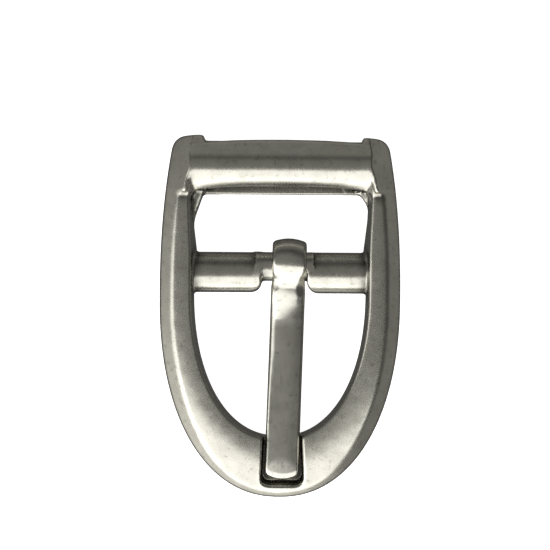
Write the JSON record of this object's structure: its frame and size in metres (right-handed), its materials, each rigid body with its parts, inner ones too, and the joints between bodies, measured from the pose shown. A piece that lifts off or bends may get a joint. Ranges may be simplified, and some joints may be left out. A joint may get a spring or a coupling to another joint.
{
  "type": "belt buckle",
  "caption": "Slim belt buckle with a rounded front, a centre strap bar, a built-in keeper loop and a swinging prong that rests in a notch.",
  "frame": {"origin": "under the middle of the buckle's outline, on the flat back that it lies on", "axes": "+X across the strap, +Y along the strap from the prong's tip to the keeper, +Z out of the face"},
  "size_m": [0.0366, 0.055, 0.0084],
  "materials": {
    "cast_nickel": "satin antique nickel plate on a zinc casting",
    "pressed_nickel": "satin nickel plate on pressed steel"
  },
  "bodies": {
    "frame": {"frame": "cast_nickel"},
    "prong": {"prong": "pressed_nickel"}
  },
  "joints": [
    {"name": "prong_swing", "type": "hinge", "parent": "frame", "child": "prong", "pos_m": [0.00135, 0.0079, 0.00355], "axis": [-1, 0, 0], "range_deg": [0, 154]}
  ]
}
